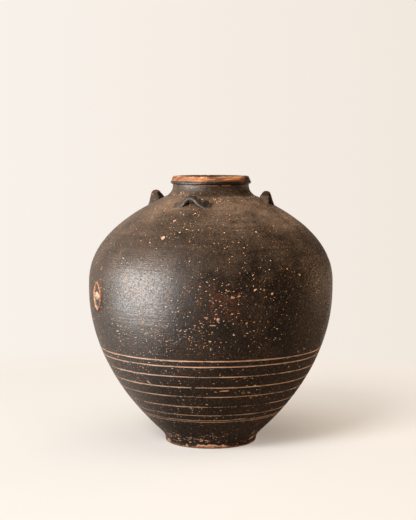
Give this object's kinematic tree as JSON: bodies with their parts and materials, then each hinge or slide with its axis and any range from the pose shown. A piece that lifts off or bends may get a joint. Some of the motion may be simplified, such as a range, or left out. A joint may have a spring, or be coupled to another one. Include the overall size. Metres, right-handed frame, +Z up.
{
  "type": "storage jar",
  "caption": "Tall-shouldered glazed stoneware storage jar with a short neck, a rolled bare-clay rim, coil lugs on the shoulder, incised lines round the lower wall and a small applied seal.",
  "frame": {"origin": "middle of the foot's ground face, on the surface the jar stands on", "axes": "+Z up along the jar's axis; -Y towards the front lug; +X towards the right lug"},
  "size_m": [0.44, 0.44, 0.4815],
  "materials": {
    "dark_glaze": "thin dark brown glaze, satin, worn and flecked",
    "bare_clay": "bare orange-brown stoneware, matte, chipped",
    "pale_clay": "bare buff clay, matte"
  },
  "bodies": {
    "root": {"floor_slab": "bare_clay", "foot_course": "dark_glaze", "taper_course": "dark_glaze", "lower_course": "dark_glaze", "belly_course": "dark_glaze", "upper_course": "dark_glaze", "shoulder_course": "dark_glaze", "neck_collar": "dark_glaze", "rim_band": "bare_clay", "lug_front": "dark_glaze", "lug_right": "dark_glaze", "lug_back": "dark_glaze", "lug_left": "dark_glaze", "seal_pad": "bare_clay", "seal_pellet": "pale_clay"}
  },
  "joints": []
}
